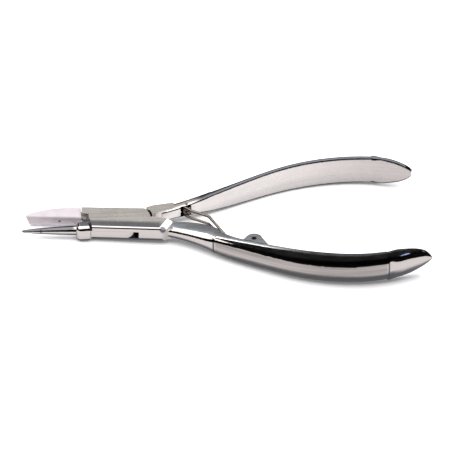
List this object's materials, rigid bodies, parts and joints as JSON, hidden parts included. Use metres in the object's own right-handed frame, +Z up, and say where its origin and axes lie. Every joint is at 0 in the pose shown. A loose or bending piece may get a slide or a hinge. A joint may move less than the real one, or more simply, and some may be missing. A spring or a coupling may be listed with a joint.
{
  "type": "half nylon jaw pliers",
  "caption": "Small box-joint pliers with a flat nylon pad jaw, a round tapered needle jaw, two D-section bow handles, a hairpin return spring and a drilled lug.",
  "frame": {"origin": "where the joint's axis meets the flat underside of the joint", "axes": "+X from the joint to the handle tails, +Y towards the nylon jaw's side, +Z up along the joint axis"},
  "size_m": [0.1373, 0.0633, 0.011],
  "materials": {
    "polished_steel": "polished stainless steel, with a lengthwise satin grain on the grips and cheeks",
    "white_nylon": "moulded white nylon, faintly translucent",
    "pin_steel": "ground steel pin",
    "spring_wire": "drawn stainless spring wire"
  },
  "bodies": {
    "box_side": {"box_half": "polished_steel", "pivot_rivet": "polished_steel", "nylon_pad": "white_nylon", "pad_pin": "pin_steel"},
    "needle_side": {"inner_half": "polished_steel", "spring_pin": "pin_steel"},
    "spring": {"return_spring": "spring_wire"}
  },
  "joints": [
    {"name": "jaw_pivot", "type": "hinge", "parent": "box_side", "child": "needle_side", "pos_m": [0, 0, 0.003], "axis": [0, 0, 1], "range_deg": [-9.2, 3], "stiffness_Nm_per_rad": 1.5},
    {"name": "spring_flex", "type": "hinge", "parent": "needle_side", "child": "spring", "pos_m": [0.0213, 0.0078, 0.003], "axis": [0, 0, 1], "range_deg": [-5, 15.2]}
  ],
  "couplings": [
    {"joint": "spring_flex", "follows": "jaw_pivot", "ratio": -1.64}
  ]
}
